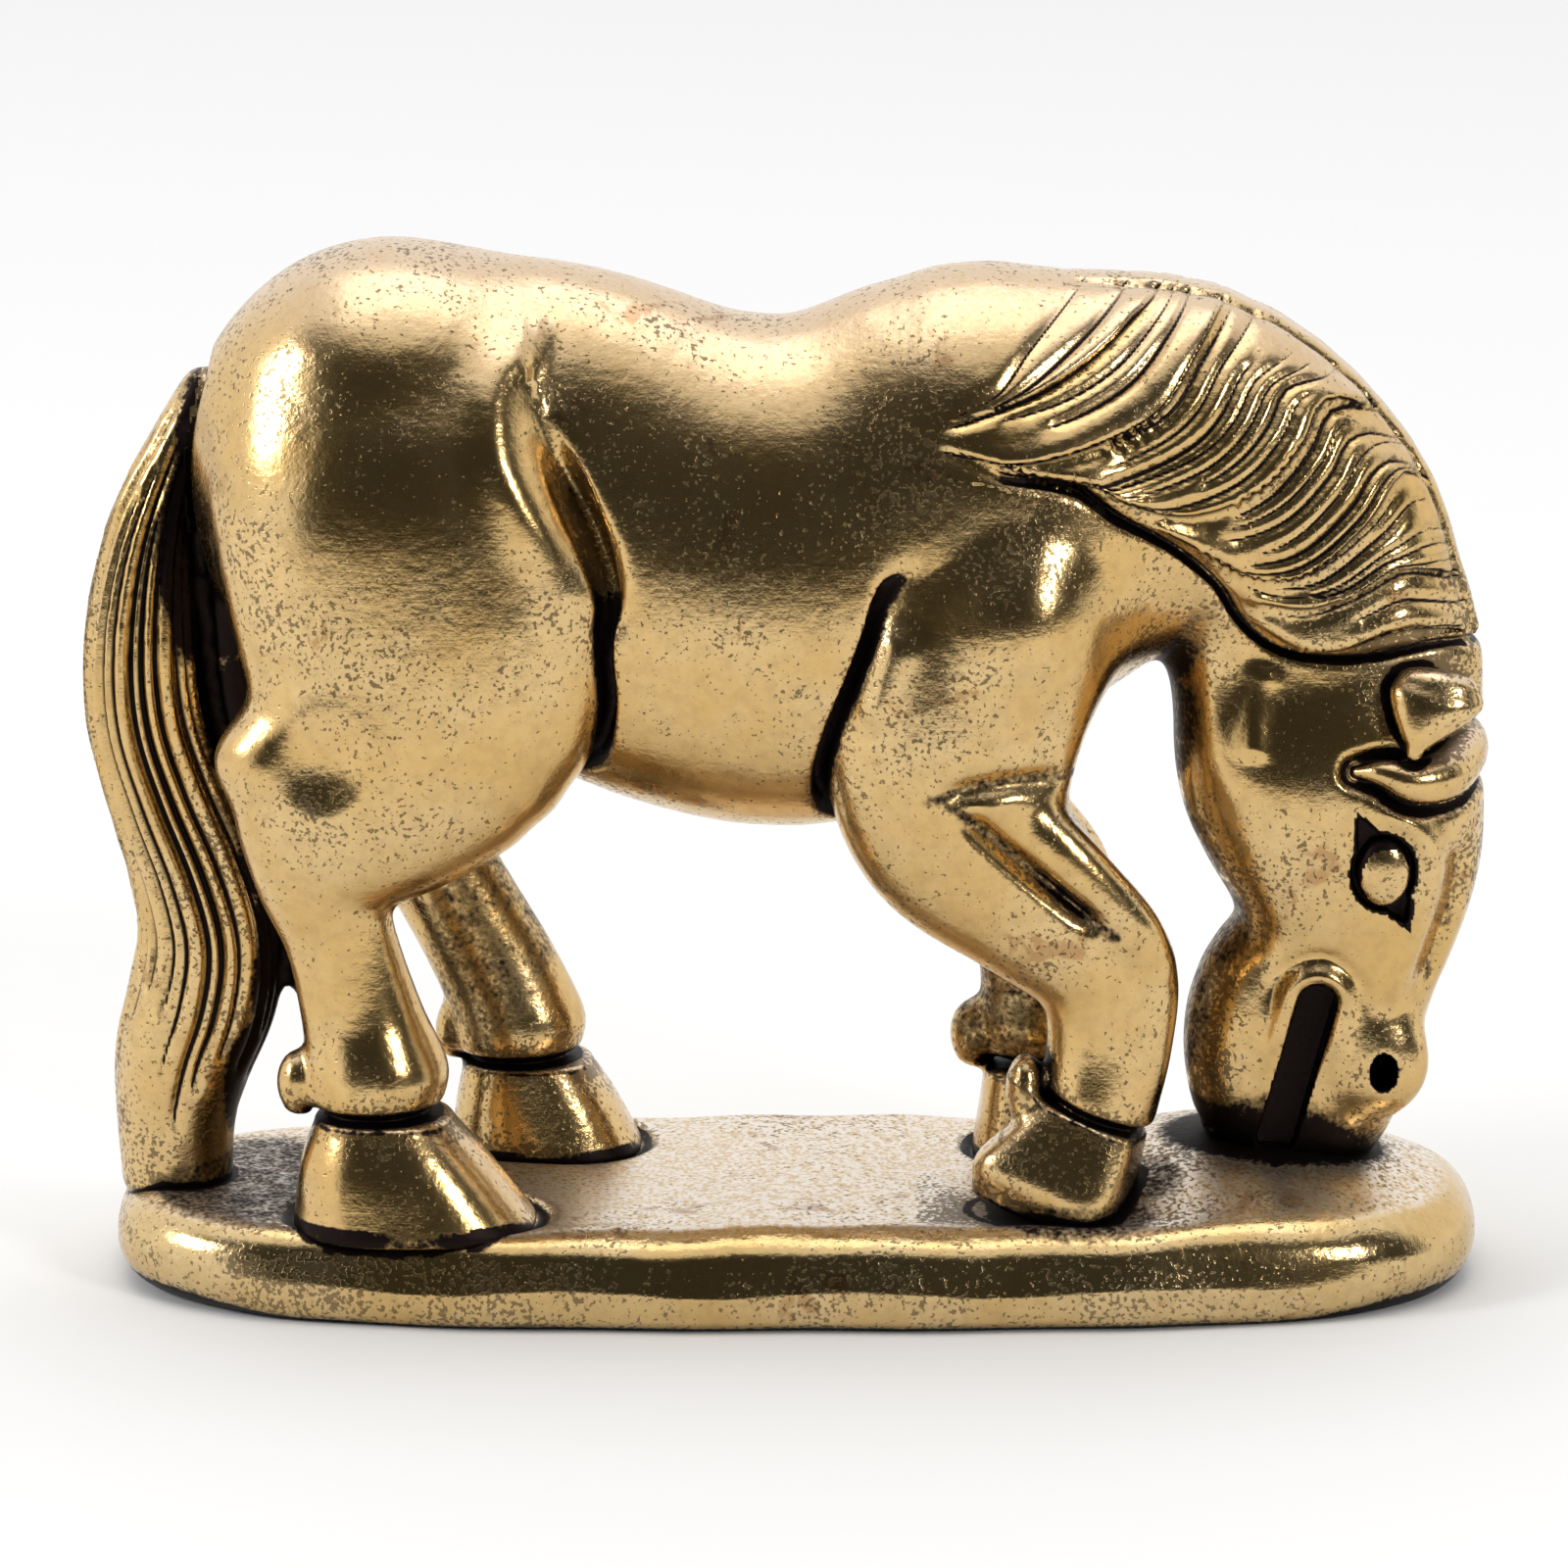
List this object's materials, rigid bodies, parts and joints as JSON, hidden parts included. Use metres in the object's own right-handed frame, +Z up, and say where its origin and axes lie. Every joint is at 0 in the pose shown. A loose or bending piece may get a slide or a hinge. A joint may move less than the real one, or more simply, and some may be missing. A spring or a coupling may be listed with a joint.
{
  "type": "horse figurine",
  "caption": "Small cast brass figurine of a grazing horse on a pebble-shaped plinth, with an engraved mane and tail and a flat underside.",
  "frame": {"origin": "centre of the figurine's box, on the plinth's flat underside", "axes": "+X towards the horse's head, +Y towards the horse's left side, +Z up"},
  "size_m": [0.044, 0.0152, 0.0333],
  "materials": {
    "cast_brass": "aged and hand polished, with dark patina in the recesses and fine casting pits",
    "engraved_brass": "chased hair lines with black patina in the cuts",
    "eye_brass": "polished boss inside a blackened outline"
  },
  "bodies": {
    "root": {"forelock": "engraved_brass", "head": "cast_brass", "left_ear": "cast_brass", "left_eye": "eye_brass", "left_fore_ergot": "cast_brass", "left_fore_hoof": "cast_brass", "left_fore_leg": "cast_brass", "left_hind_ergot": "cast_brass", "left_hind_hoof": "cast_brass", "left_hind_leg": "cast_brass", "left_mane": "engraved_brass", "neck": "cast_brass", "plinth": "cast_brass", "right_ear": "cast_brass", "right_eye": "eye_brass", "right_fore_ergot": "cast_brass", "right_fore_hoof": "cast_brass", "right_fore_leg": "cast_brass", "right_hind_ergot": "cast_brass", "right_hind_hoof": "cast_brass", "right_hind_leg": "cast_brass", "right_mane": "engraved_brass", "tail": "engraved_brass", "trunk": "cast_brass"}
  },
  "joints": []
}
